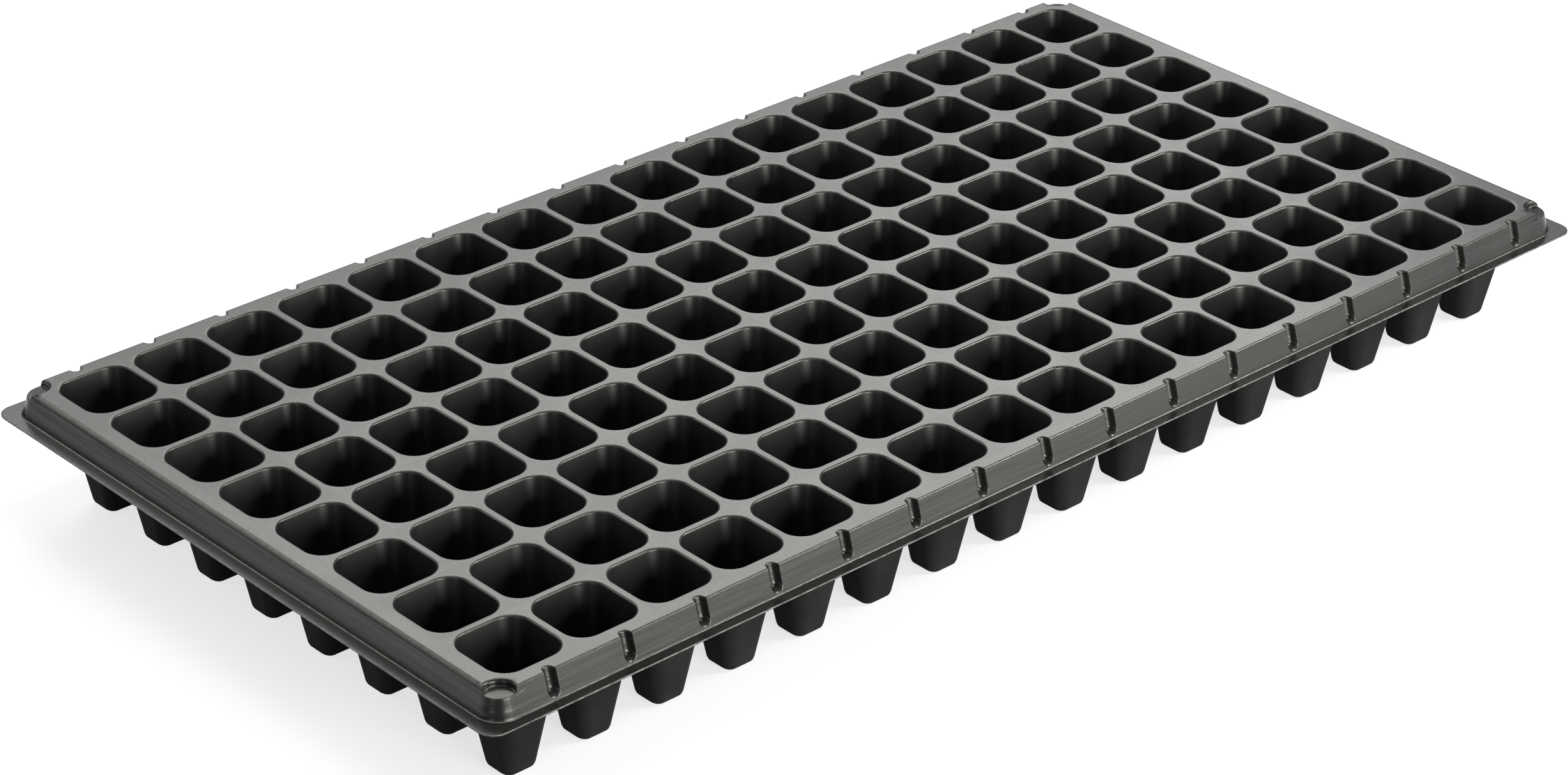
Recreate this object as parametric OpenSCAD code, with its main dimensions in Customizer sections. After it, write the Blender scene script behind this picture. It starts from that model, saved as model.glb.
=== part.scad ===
// Seed tray with a grid of tapered cells, vacuum formed from one plastic sheet.
// The sheet is cut along its construction lines into named regions that meet face to face.
// X runs along the tray, Y across it and Z up. The origin is at the middle of the underside.

/* [Cells] */
// Cells along the length of the tray
column_count = 16; // [4:1:20]
// Cells across the width of the tray
row_count = 8; // [4:1:12]
// Clear width of a cell just below its rolled lip
mouth_w = 28.4; // [25:0.1:32]
// Width of the web between the mouths of neighbouring cells
web_w = 3.6; // [3:0.1:10]
// Corner radius of a cell just below its rolled lip
mouth_corner_r = 8.8; // [8:0.1:11]
// Slope of the cell walls from upright, in degrees
draft = 10; // [7:0.1:10.3]
// Radius of the rolled lip on its upper face
lip_r = 0.9; // [0.8:0.1:1.2]
// Inside radius between a cell's wall and its floor
foot_r = 0.6; // [0.3:0.1:0.8]
// Diameter of the drain hole in each cell's floor
drain_d = 6; // [3:0.5:8]

/* [Sheet] */
// Thickness of the sheet in the cells
cell_t = 0.5; // [0.3:0.05:0.7]
// Thickness of the sheet in the skirt and the brim
rim_t = 0.8; // [0.4:0.05:0.9]

/* [Tray] */
// Height from the underside of the cells to the top of the deck
tray_h = 46.5; // [40:0.5:48]
// From the last cells' pitch line to the edge of the brim, at the short ends
end_border = 14; // [13.5:0.1:18]
// From the last cells' pitch line to the edge of the brim, on the long sides
side_border = 12; // [11.8:0.1:16]

/* [Skirt and brim] */
// Drop from the deck to the top of the brim
skirt_drop = 10; // [8:0.5:14]
// How far the skirt runs outward over its drop
skirt_run = 2.8; // [2:0.1:3.4]
// Radius of the rolled edge between deck and skirt
roll_r = 1.2; // [1:0.1:2]
// Radius of the fillet between skirt and brim
base_r = 1.2; // [0.9:0.1:1.6]
// Width of the brim beyond the foot of the skirt, at the short ends
end_brim_w = 4.9; // [4:0.1:5.6]
// Width of the brim beyond the foot of the skirt, on the long sides
side_brim_w = 3.4; // [2.6:0.1:4]
// Corner radius of the brim
brim_corner_r = 6; // [3:0.5:8]

/* [Grooves and scoops] */
// Width of a groove in the long sides of the skirt
groove_w = 4.6; // [3:0.1:5.2]
// Depth of a groove below the face of the skirt
groove_depth = 2.6; // [2.4:0.1:2.8]
// Height of a groove's rounded end above the brim
groove_foot = 0.9; // [0.5:0.1:2]
// Radius of the round scoop at each corner of the deck
scoop_r = 6.5; // [5:0.1:7.4]
// Depth of the scoop below the deck
scoop_depth = 3.4; // [2:0.1:5]
// Distance of the scoop's axis from the deck's edge at the short ends
scoop_end_inset = 3.6; // [2:0.1:4.2]
// Distance of the scoop's axis from the deck's edge on the long sides
scoop_side_inset = 3; // [2:0.1:3.6]

/* [Hidden] */
$fn = 64;
// Steps in the lip and in the two rounds of the rim
lip_steps = 2;
rim_steps = 4;
// Overshoot of a cutting tool past the face that it cuts
cut_over = 1;
// How far a cell's lip runs on into the deck
deck_lap = 0.3;
sheet_colour = "#3c3d3a";
cell_colour = "#2b2b2b";

// Coordinates are kept to a thousandth, so that neighbours share the very same edges.
function snap(v) = round(v * 1000) / 1000;
function arc(centre, r, from, to, steps = 1) =
    [for (k = [0:steps]) let (a = from + (to - from) * k / steps)
        [snap(centre[0] + r * cos(a)), snap(centre[1] + r * sin(a))]];

// Cell field and the deck's edge
pitch = mouth_w + web_w;
field_x = column_count * pitch / 2;
field_y = row_count * pitch / 2;
tray_x = field_x + end_border;
tray_y = field_y + side_border;
deck_x = tray_x - end_brim_w - skirt_run;
deck_y = tray_y - side_brim_w - skirt_run;
end_margin = deck_x - field_x;
side_margin = deck_y - field_y;
brim_z = tray_h - skirt_drop;

// One cell: the lip's centre, the foot's centre and the axes of the four corners
lip_half = snap(mouth_w / 2 + lip_r * cos(draft));
lip_z = tray_h - lip_r;
wall_top_z = lip_z + lip_r * sin(draft);
foot_z = foot_r + cell_t;
foot_half = mouth_w / 2 - (wall_top_z - foot_z) * tan(draft) - foot_r / cos(draft);
least_floor_strip = 0.1;
corner_c = snap(min(mouth_w / 2 - mouth_corner_r, foot_half - least_floor_strip));

// The cell's sheet in section, from the lip down to the floor, out from a corner's axis
cup_section = concat(
    [[lip_half - corner_c + deck_lap, tray_h]],
    arc([lip_half - corner_c, lip_z], lip_r, 90, 180 - draft, lip_steps),
    arc([foot_half - corner_c, foot_z], foot_r, -draft, -90),
    [[0, cell_t], [0, 0]],
    arc([foot_half - corner_c, foot_z], foot_r + cell_t, -90, -draft),
    arc([lip_half - corner_c, lip_z], lip_r - cell_t, 180 - draft, 90, lip_steps),
    [[lip_half - corner_c + deck_lap, tray_h - cell_t]]);

// The skirt in section, out from the deck's edge, and the two rounds on its faces
skirt_slope = atan2(skirt_run, skirt_drop);
roll_back = roll_r * tan((90 - skirt_slope) / 2);
base_out = base_r * tan((90 - skirt_slope) / 2);
roll_centre = [-roll_back, tray_h - roll_r];
base_centre = [skirt_run + base_out, brim_z + base_r];
foot_line = snap(skirt_run + base_out);
skirt_face = concat(
    arc(roll_centre, roll_r, 90, skirt_slope, rim_steps),
    arc(base_centre, base_r, 180 + skirt_slope, 270, rim_steps));
skirt_back_face = concat(
    arc(roll_centre, roll_r - rim_t, 90, skirt_slope, rim_steps),
    arc(base_centre, base_r + rim_t, 180 + skirt_slope, 270, rim_steps));

// Corner of the border: the axis that the skirt turns about, and where the straight sides start
turn_r = min(end_margin, side_margin);
turn_x = deck_x - turn_r;
turn_y = deck_y - turn_r;
brim_reach = norm([tray_x - turn_x, tray_y - turn_y]) - turn_r;
scoop_x = deck_x - scoop_end_inset;
scoop_y = deck_y - scoop_side_inset;
corner_x = scoop_x - scoop_r - rim_t - cut_over;
corner_y = scoop_y - scoop_r - rim_t - cut_over;

function row_name(i) = str("cell_row_", i < 10 ? "0" : "", i);

// A rounded square, as wide as the cell is at one height
module cell_outline(half) {
    square([2 * half, 2 * corner_c], center = true);
    square([2 * corner_c, 2 * half], center = true);
    for (x = [-corner_c, corner_c], y = [-corner_c, corner_c])
        translate([x, y]) circle(half - corner_c);
}

// Tapered cup with its rolled lip and drained floor
module cup() {
    for (k = [0:3]) rotate(90 * k) translate([corner_c, corner_c, 0]) {
        rotate_extrude(angle = 90) polygon(cup_section);
        rotate([90, 0, 0]) linear_extrude(2 * corner_c) polygon(cup_section);
    }
    difference() {
        translate([-corner_c, -corner_c, 0]) cube([2 * corner_c, 2 * corner_c, cell_t]);
        translate([0, 0, -cut_over]) cylinder(d = drain_d, h = cell_t + 2 * cut_over);
    }
}

// Space of the scoop at the corner in the directions sx and sy, grown by the sheet's thickness
module scoop(sx, sy, grow) {
    translate([sx * scoop_x, sy * scoop_y, tray_h - scoop_depth - grow])
        cylinder(r = scoop_r + grow, h = scoop_depth + grow + cut_over);
}

// A row of cells across the tray; the rows at the two ends give up deck corners to the scoops
module cell_row(i) {
    x = (i - 0.5) * pitch - field_x;
    cell_y = [for (j = [1:row_count]) (j - 0.5) * pitch - field_y];
    side = i == 1 ? -1 : i == column_count ? 1 : 0;
    color(cell_colour) difference() {
        union() {
            translate([x, 0, tray_h - cell_t]) linear_extrude(cell_t) difference() {
                square([pitch, 2 * field_y], center = true);
                for (y = cell_y) translate([0, y]) cell_outline(lip_half);
            }
            for (y = cell_y) translate([x, y, 0]) cup();
            if (side != 0) intersection() {
                for (end = [-1, 1]) scoop(side, end, rim_t);
                translate([x - pitch / 2, -field_y, 0]) cube([pitch, 2 * field_y, tray_h]);
            }
        }
        if (side != 0) for (end = [-1, 1]) scoop(side, end, 0);
    }
}

// Everything below the skirt's outer face, back to the cells' pitch line
module skirt_outer(margin) {
    polygon(concat([[-margin, brim_z - rim_t], [-margin, tray_h]], skirt_face,
        [[foot_line, brim_z - rim_t]]));
}

// The same with the brim, out past its trimmed edge
module border_outer(margin) {
    polygon(concat([[-margin, brim_z - rim_t], [-margin, tray_h]], skirt_face,
        [[brim_reach, brim_z], [brim_reach, brim_z - rim_t]]));
}

// Everything below the skirt's inner face
module skirt_inner(margin) {
    polygon(concat([[-margin - cut_over, brim_z - rim_t - cut_over],
        [-margin - cut_over, tray_h - rim_t]], skirt_back_face,
        [[foot_line, brim_z - rim_t - cut_over]]));
}

// A section laid along X, with the deck's edge on y = deck_y, from x0 to x1
module along_side(x0, x1) {
    translate([x0, deck_y, 0]) rotate([90, 0, 90]) linear_extrude(x1 - x0) children();
}

// A section laid along Y, with the deck's edge on x = deck_x, from y0 to y1
module along_end(y0, y1) {
    translate([deck_x, y1, 0]) rotate([90, 0, 0]) linear_extrude(y1 - y0) children();
}

// A section turned about the corner's axis, with the deck's edge at turn_r from it
module along_turn() {
    translate([turn_x, turn_y, 0]) rotate_extrude(angle = 90) intersection() {
        translate([turn_r, 0]) children();
        square([turn_r + brim_reach, tray_h]);
    }
}

// A groove's space: a leaning round slot that ends in a ball just above the brim
module groove(x, grow) {
    r = groove_w / 2 + grow;
    inset = groove_depth - groove_w / 2;
    end_z = brim_z + groove_foot + groove_w / 2;
    end_y = deck_y + (tray_h - end_z) * tan(skirt_slope) - inset;
    translate([x, end_y, end_z]) rotate([skirt_slope, 0, 0]) {
        cylinder(r = r, h = skirt_drop + cut_over);
        sphere(r);
    }
}

module long_skirt() {
    groove_x = [for (i = [1:column_count]) (i - 0.5) * pitch - field_x];
    color(sheet_colour) difference() {
        along_side(-corner_x, corner_x) skirt_outer(side_margin);
        for (x = groove_x) groove(x, 0);
        difference() {
            along_side(-corner_x - cut_over, corner_x + cut_over) skirt_inner(side_margin);
            for (x = groove_x) groove(x, rim_t);
        }
    }
}

module short_skirt() {
    color(sheet_colour) difference() {
        along_end(-corner_y, corner_y) skirt_outer(end_margin);
        along_end(-corner_y - cut_over, corner_y + cut_over) skirt_inner(end_margin);
    }
}

// The trimmed outline of the border's corner, with its rounded brim
module corner_outline() {
    round_x = tray_x - brim_corner_r;
    round_y = tray_y - brim_corner_r;
    translate([corner_x, corner_y]) square([round_x - corner_x, tray_y - corner_y]);
    translate([corner_x, corner_y]) square([tray_x - corner_x, round_y - corner_y]);
    translate([round_x, round_y]) circle(brim_corner_r);
}

// The border's corner: both skirts' ends, the turn between them, the scoop and the brim
module border_corner() {
    color(sheet_colour) difference() {
        intersection() {
            union() {
                along_side(corner_x, turn_x) border_outer(side_margin);
                along_end(corner_y, turn_y) border_outer(end_margin);
                along_turn() border_outer(turn_r);
            }
            linear_extrude(tray_h + cut_over) corner_outline();
        }
        scoop(1, 1, 0);
        difference() {
            union() {
                along_side(corner_x - cut_over, turn_x) skirt_inner(side_margin);
                along_end(corner_y - cut_over, turn_y) skirt_inner(end_margin);
                along_turn() skirt_inner(turn_r);
            }
            scoop(1, 1, rim_t);
        }
    }
}

module long_brim() {
    color(sheet_colour) translate([-corner_x, deck_y + foot_line, brim_z - rim_t])
        cube([2 * corner_x, tray_y - deck_y - foot_line, rim_t]);
}

module short_brim() {
    color(sheet_colour) translate([deck_x + foot_line, -corner_y, brim_z - rim_t])
        cube([tray_x - deck_x - foot_line, 2 * corner_y, rim_t]);
}

for (i = [1:column_count]) cell_row(i);
long_skirt();  // skirt_back
mirror([0, 1, 0]) long_skirt();  // skirt_front
short_skirt();  // skirt_right
mirror([1, 0, 0]) short_skirt();  // skirt_left
border_corner();  // corner_back_right
mirror([1, 0, 0]) border_corner();  // corner_back_left
mirror([0, 1, 0]) border_corner();  // corner_front_right
mirror([1, 0, 0]) mirror([0, 1, 0]) border_corner();  // corner_front_left
long_brim();  // brim_back
mirror([0, 1, 0]) long_brim();  // brim_front
short_brim();  // brim_right
mirror([1, 0, 0]) short_brim();  // brim_left
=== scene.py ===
"""Seed tray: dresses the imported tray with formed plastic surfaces, a stage and the photograph's view.

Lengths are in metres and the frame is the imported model's: X along the tray, Y across it, Z up,
with the origin at the middle of the plane that the cells stand on.
"""
import math

import bmesh
import bpy
import numpy as np
from bpy.props import FloatProperty, FloatVectorProperty, IntProperty, PointerProperty
from mathutils import Matrix, Quaternion, Vector


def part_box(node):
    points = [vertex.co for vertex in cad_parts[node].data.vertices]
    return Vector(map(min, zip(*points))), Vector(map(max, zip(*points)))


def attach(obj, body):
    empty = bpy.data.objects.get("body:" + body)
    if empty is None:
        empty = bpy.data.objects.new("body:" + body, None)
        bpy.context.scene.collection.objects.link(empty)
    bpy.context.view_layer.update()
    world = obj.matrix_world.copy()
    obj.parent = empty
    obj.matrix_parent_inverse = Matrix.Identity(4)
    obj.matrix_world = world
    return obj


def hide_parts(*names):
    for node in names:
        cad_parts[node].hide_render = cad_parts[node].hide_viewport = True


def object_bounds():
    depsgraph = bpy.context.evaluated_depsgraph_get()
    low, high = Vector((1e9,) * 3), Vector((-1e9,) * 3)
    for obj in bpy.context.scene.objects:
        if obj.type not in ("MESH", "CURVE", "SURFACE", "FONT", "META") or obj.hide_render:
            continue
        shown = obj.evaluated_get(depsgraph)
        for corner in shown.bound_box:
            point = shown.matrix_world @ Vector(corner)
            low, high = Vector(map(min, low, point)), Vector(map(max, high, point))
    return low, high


bl_info = {
    "name": "Seed tray",
    "version": (1, 0, 0),
    "blender": (4, 5, 0),
    "location": "View3D > Sidebar > Seed tray",
    "description": "Builds the formed sheet of a seed tray and its stage",
    "category": "Add Mesh",
}

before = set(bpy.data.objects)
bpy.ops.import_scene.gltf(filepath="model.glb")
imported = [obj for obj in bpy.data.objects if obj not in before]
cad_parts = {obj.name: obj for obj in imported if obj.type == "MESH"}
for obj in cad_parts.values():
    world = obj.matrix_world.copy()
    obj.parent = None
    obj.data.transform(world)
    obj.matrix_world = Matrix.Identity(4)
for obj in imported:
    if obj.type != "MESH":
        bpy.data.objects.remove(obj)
CAD_BOX = [list(corner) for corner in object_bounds()]

MM = 0.001
COLUMNS = sum(name.startswith("cell_row_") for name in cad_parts)
FIRST_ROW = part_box("cell_row_01")
PITCH = FIRST_ROW[1].x - FIRST_ROW[0].x
ROWS = round((FIRST_ROW[1].y - FIRST_ROW[0].y) / PITCH)
DECK_Z = CAD_BOX[1][2]
TRAY_X = CAD_BOX[1][0]
TRAY_Y = CAD_BOX[1][1]
FIELD_X = COLUMNS * PITCH / 2
FIELD_Y = ROWS * PITCH / 2
SIDE_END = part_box("skirt_back")[1].x
END_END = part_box("skirt_right")[1].y
SHARP_ANGLE = math.radians(38)
WELD = 2e-6
SLIVER = 1e-7


def length(name, description, default_mm):
    """A length property whose default is given in millimetres."""
    return FloatProperty(name=name, description=description, default=default_mm * MM,
                         min=0.0, unit="LENGTH", precision=5)


def colour(name, description, default):
    """A linear colour property."""
    return FloatVectorProperty(name=name, description=description, default=default,
                               size=3, min=0.0, max=1.0, subtype="COLOR")


class TrayCell(bpy.types.PropertyGroup):
    """Sizes of one cell."""
    mouth_w: length("Mouth width", "Clear width just below the rolled lip", 28.4)
    mouth_centre: length("Mouth corner centre", "Centre of the mouth's corner arcs, from the axis", 6.55)
    foot_centre: length("Foot corner centre", "Centre of the foot's corner arcs, from the axis", 3.0)
    draft: FloatProperty(name="Draft", description="Slope of the walls from upright",
                         default=math.radians(10.0), subtype="ANGLE")
    lip_r: length("Lip radius", "Radius of the rolled lip on its upper face", 0.9)
    foot_r: length("Foot radius", "Inside radius between wall and floor", 2.0)
    drain_d: length("Drain hole", "Diameter of the hole in the floor", 6.0)
    sheet_t: length("Sheet", "Thickness of the sheet in the cell", 0.5)


class TrayRim(bpy.types.PropertyGroup):
    """Sizes of the skirt, the brim, the grooves and the scoops."""
    deck_end: length("Deck end", "From the tray's middle to the deck's edge at the short ends", 262.2)
    deck_side: length("Deck side", "From the tray's middle to the deck's edge on the long sides", 132.9)
    drop: length("Skirt drop", "From the deck down to the brim", 10.0)
    end_run: length("End run", "Outward run of the skirt at the short ends", 2.9)
    side_run: length("Side run", "Outward run of the skirt on the long sides", 3.0)
    end_roll: length("End roll", "Radius of the rolled edge at the short ends", 2.0)
    side_roll: length("Side roll", "Radius of the rolled edge on the long sides", 0.8)
    base_r: length("Base fillet", "Radius between skirt and brim", 0.55)
    corner_r: length("Skirt corner", "Radius of the deck's edge round a corner", 6.0)
    brim_corner_r: length("Brim corner", "Corner radius of the brim", 6.0)
    edge_r: length("Cut edge", "Small round on the brim's trimmed edge", 0.22)
    sheet_t: length("Sheet", "Thickness of the sheet in the rim", 0.7)
    groove_w: length("Groove width", "Width of a groove in the long sides", 4.5)
    groove_depth: length("Groove depth", "Depth of a groove below the skirt's face", 2.6)
    groove_foot: length("Groove foot", "Height of a groove's end above the brim", 1.3)
    scoop_r: length("Scoop radius", "Radius of the round scoop at each corner", 5.6)
    scoop_depth: length("Scoop depth", "Depth of the scoop below the deck", 2.5)
    scoop_end: length("Scoop from end", "Scoop's axis inside the deck's end edge", 3.2)
    scoop_side: length("Scoop from side", "Scoop's axis inside the deck's side edge", 1.9)
    scoop_roll: length("Scoop edge", "Radius of the scoop's upper edge", 1.1)
    scoop_fillet: length("Scoop fillet", "Radius between the scoop's wall and floor", 0.5)


class TrayFinish(bpy.types.PropertyGroup):
    """Colours of the formed sheet."""
    sheet_colour: colour("Sheet", "Black of the deck, skirt and brim", (0.014, 0.014, 0.0133))
    # A little darker than the deck's black: painted shade inside the cells.
    cup_colour_and_shade: colour("Cups", "Black of the cups, where the sheet is drawn thin", (0.012, 0.012, 0.0117))
    # Painted shade: the grooves' walls are much darker than the sheet, for the shade inside the grooves.
    groove_colour: colour("Groove walls", "Black of the grooves' walls, drawn thinnest",
                          (0.006, 0.006, 0.0058))
    under_colour: colour("Underside", "Black of the dull underside", (0.025, 0.025, 0.024))
    # Mixed in by the wear mark: wear on cut edges and drain holes, painted highlight on the lips, rolled
    # edges, the skirt's foot and the scoops' edges.
    worn_and_highlight_colour: colour("Cut edge", "Paler plastic where the sheet is cut or rubbed", (0.2, 0.2, 0.19))
    tone_seed: IntProperty(name="Tone seed", description="Seed of the cells' slight differences",
                           default=7)


class TrayStage(bpy.types.PropertyGroup):
    """View and floor."""
    camera_place: FloatVectorProperty(name="Camera", description="Place of the camera", size=3,
                                      default=(-0.96629, -1.02538, 0.7848), subtype="TRANSLATION")
    camera_aim: FloatVectorProperty(name="Aim", description="Point that the camera looks at", size=3,
                                    default=(-0.05885, -0.04489, 0.0465), subtype="TRANSLATION")
    camera_roll: FloatProperty(name="Roll", description="Turn of the camera about its view",
                               default=math.radians(0.79), subtype="ANGLE")
    lens: FloatProperty(name="Lens", description="Focal length on a 36 mm wide sensor, in millimetres",
                        default=98.46)
    floor_colour: colour("Floor", "Pale floor", (0.42, 0.42, 0.42))


def form():
    """The sizes of the cell and of the rim."""
    return bpy.context.scene.seed_tray_cell, bpy.context.scene.seed_tray_rim


# Mesh helpers

def arc(centre, radius, start, end, steps):
    """Points of an arc from one angle to another, in degrees."""
    angles = np.radians(np.linspace(start, end, steps + 1))
    return [(centre[0] + radius * math.cos(a), centre[1] + radius * math.sin(a)) for a in angles]


class Shell:
    """Collects grids of points, then welds them into one closed mesh."""

    def __init__(self):
        self.points = []
        self.marks = {"wear_and_highlight": [], "under": [], "groove": []}
        self.faces = []

    def grid(self, points, wear_and_highlight, under, groove=0.0):
        """Adds rows by columns of points, marked by row or by point, and returns the grid's indices."""
        rows, columns = points.shape[:2]
        first = len(self.points)
        self.points.extend(map(tuple, points.reshape(-1, 3)))
        for mark, values in (("wear_and_highlight", wear_and_highlight), ("under", under), ("groove", groove)):
            values = np.asarray(values, float)
            by_point = np.broadcast_to(values[:, None] if values.ndim == 1 else values, (rows, columns))
            self.marks[mark].extend(by_point.ravel().tolist())
        return np.arange(first, len(self.points)).reshape(rows, columns)

    def skin(self, index, flip=False):
        """Faces over a grid of indices."""
        for a, b in zip(index[:-1], index[1:]):
            self.strip(a, b, flip)

    def strip(self, a, b, flip=False):
        """Faces between two rows of indices."""
        for k in range(len(a) - 1):
            quad = (a[k], a[k + 1], b[k + 1], b[k])
            self.faces.append(quad[::-1] if flip else quad)

    def mesh(self, name, mirror=(1, 1)):
        """The welded mesh, with its faces outwards."""
        scale = np.array([mirror[0], mirror[1], 1.0])
        made = bmesh.new()
        layers = {mark: made.verts.layers.float.new(mark) for mark in self.marks}
        verts = [made.verts.new(np.array(p) * scale) for p in self.points]
        for mark, values in self.marks.items():
            for vert, value in zip(verts, values):
                vert[layers[mark]] = value
        for face in self.faces:
            made.faces.new([verts[k] for k in face])
        bmesh.ops.remove_doubles(made, verts=made.verts, dist=WELD)
        bmesh.ops.dissolve_degenerate(made, edges=made.edges, dist=SLIVER)
        bmesh.ops.recalc_face_normals(made, faces=made.faces)
        if made.calc_volume(signed=True) < 0:
            bmesh.ops.reverse_faces(made, faces=made.faces)
        mesh = bpy.data.meshes.new(name)
        made.to_mesh(mesh)
        made.free()
        finish_mesh(mesh)
        return mesh


def finish_mesh(mesh):
    """Smooth shading, with true edges kept sharp."""
    mesh.polygons.foreach_set("use_smooth", np.ones(len(mesh.polygons), bool))
    mesh.set_sharp_from_angle(angle=SHARP_ANGLE)


def dress(piece, material, slot, *nodes):
    """Gives a finished piece its material and its place in the frame."""
    if material is not None:
        piece.data.materials.append(material)
    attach(piece, "root")
    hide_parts(*nodes)


def new_piece(name, mesh):
    """An object at the origin with that mesh."""
    piece = bpy.data.objects.new(name, mesh)
    bpy.context.scene.collection.objects.link(piece)
    return piece


# Cells

SIDE_STEPS = 3
CORNER_STEPS = 10
LIP_STEPS = 6
FOOT_STEPS = 4
UNDER_STEPS = 3
SUPPORT = 0.2 * MM
LEAST_CORNER = 0.2 * MM
MOUTH_WEAR = 0.1
HOLE_WEAR = 0.5
# Paler along the lip's roll: wear and painted highlight.
LIP_WEAR_AND_HIGHLIGHT = ([0, 0.35, 1], [0.05, 0.2, 0.0])


def square_ring(half, centre, z):
    """A rounded square: straight sides between corner arcs about (centre, centre)."""
    centre = min(centre, half - LEAST_CORNER)
    radius = half - centre
    quarter = [(half, -centre + 2 * centre * k / SIDE_STEPS) for k in range(SIDE_STEPS)]
    quarter += arc((centre, centre), radius, 0, 90, CORNER_STEPS)[:-1]
    ring = []
    for c, s in ((1, 0), (0, 1), (-1, 0), (0, -1)):
        ring += [(x * c - y * s, x * s + y * c, z) for x, y in quarter]
    return np.array(ring)


def tile_edge(ring, z, bite):
    """The deck square's edge on rays through a ring, cut back where bite gives a scoop's axis and radius."""
    reach = np.abs(ring[:, :2]).max(axis=1, keepdims=True)
    edge = ring[:, :2] * (PITCH / 2 / reach)
    if bite:
        axis, radius = bite
        way = edge / np.linalg.norm(edge, axis=1, keepdims=True)
        along = way @ axis
        off = (axis @ axis) - along ** 2
        cut = along - np.sqrt(np.maximum(radius ** 2 - off, 0))
        hit = (off < radius ** 2) & (along > 0) & (cut < np.linalg.norm(edge, axis=1))
        edge[hit] = way[hit] * cut[hit, None]
        for corner in bite_corners(axis, radius):
            nearest = np.argmin(np.linalg.norm(edge - corner, axis=1))
            edge[nearest] = corner
    return np.column_stack([edge, np.full(len(edge), z)])


def bite_corners(axis, radius):
    """Where the scoop's circle meets the two outer edges of the deck square."""
    x = math.copysign(PITCH / 2, axis[0])
    y = math.copysign(PITCH / 2, axis[1])
    on_end = axis[1] - math.copysign(math.sqrt(radius ** 2 - (x - axis[0]) ** 2), axis[1])
    on_side = axis[0] - math.copysign(math.sqrt(radius ** 2 - (y - axis[1]) ** 2), axis[0])
    return np.array([(x, on_end), (on_side, y)])


def cell_face(cell, offset, lip_steps, foot_steps):
    """Rows of one face of the cup, lip to floor: half width, corner centre, height, and paleness from wear
    and painted highlight.
    """
    draft = math.degrees(cell.draft)
    lip_half = cell.mouth_w / 2 + cell.lip_r * math.cos(cell.draft)
    lip_z = DECK_Z - cell.lip_r
    wall_top = lip_z + cell.lip_r * math.sin(cell.draft)
    foot_z = cell.foot_r + cell.sheet_t
    foot_half = (cell.mouth_w / 2 - (wall_top - foot_z) * math.tan(cell.draft)
                 - cell.foot_r / math.cos(cell.draft))
    rows = [(lip_half + SUPPORT, cell.mouth_centre, DECK_Z - offset, MOUTH_WEAR)]
    lip = arc((lip_half, lip_z), cell.lip_r - offset, 90, 180 - draft, lip_steps)
    lip_wear_and_highlight = np.interp(np.linspace(0, 1, len(lip)), *LIP_WEAR_AND_HIGHLIGHT)
    rows += [(half, cell.mouth_centre, z, wear_and_highlight) for (half, z), wear_and_highlight in zip(lip, lip_wear_and_highlight)]
    foot = arc((foot_half, foot_z), cell.foot_r + offset, -draft, -90, foot_steps)
    rows += [(half, cell.foot_centre, z, 0.0) for half, z in foot]
    rows += [(foot_half - SUPPORT, cell.foot_centre, foot[-1][1], 0.0)]
    return rows


def cell_mesh(name, bite=None):
    """One closed cell about the origin: deck square, rolled lip, tapered cup and drained floor."""
    cell, _ = form()
    upper = cell_face(cell, 0.0, LIP_STEPS, FOOT_STEPS)
    lower = cell_face(cell, cell.sheet_t, UNDER_STEPS, UNDER_STEPS)
    rings = []
    wear_and_highlight = []
    under = []
    for face in (upper, lower[::-1]):
        face_rings = [square_ring(half, centre, z) for half, centre, z, _ in face]
        floor = face_rings[-1] if face is upper else face_rings[0]
        angle = np.arctan2(floor[:, 1], floor[:, 0])
        hole = np.column_stack([np.cos(angle), np.sin(angle), np.zeros_like(angle)]) * cell.drain_d / 2
        hole[:, 2] = floor[:, 2]
        deck = face_rings[0] if face is upper else face_rings[-1]
        edge = tile_edge(deck, deck[0, 2], bite)
        face_wear_and_highlight = [row[3] for row in face]
        if face is upper:
            rings += [edge] + face_rings + [hole]
            wear_and_highlight += [0.0] + face_wear_and_highlight + [HOLE_WEAR]
        else:
            rings += [hole] + face_rings + [edge]
            wear_and_highlight += [HOLE_WEAR] + face_wear_and_highlight + [0.0]
        under += [float(face is not upper)] * (len(face) + 2)
    shell = Shell()
    index = shell.grid(np.array(rings), wear_and_highlight, under)
    index = np.vstack([index, index[:1]])
    shell.skin(np.hstack([index, index[:, :1]]))
    return shell.mesh(name)


def scoop_bite(rim, sx, sy):
    """The scoop's axis seen from the corner cell's axis, and the radius that it takes from the deck."""
    axis = np.array([sx * (rim.deck_end - rim.scoop_end - FIELD_X + PITCH / 2),
                     sy * (rim.deck_side - rim.scoop_side - FIELD_Y + PITCH / 2)])
    return axis, rim.scoop_r + rim.scoop_roll


def add_socket(tree, name, kind):
    """A new named input of a node tree."""
    return tree.interface.new_socket(name, in_out="INPUT", socket_type=kind)


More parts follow.
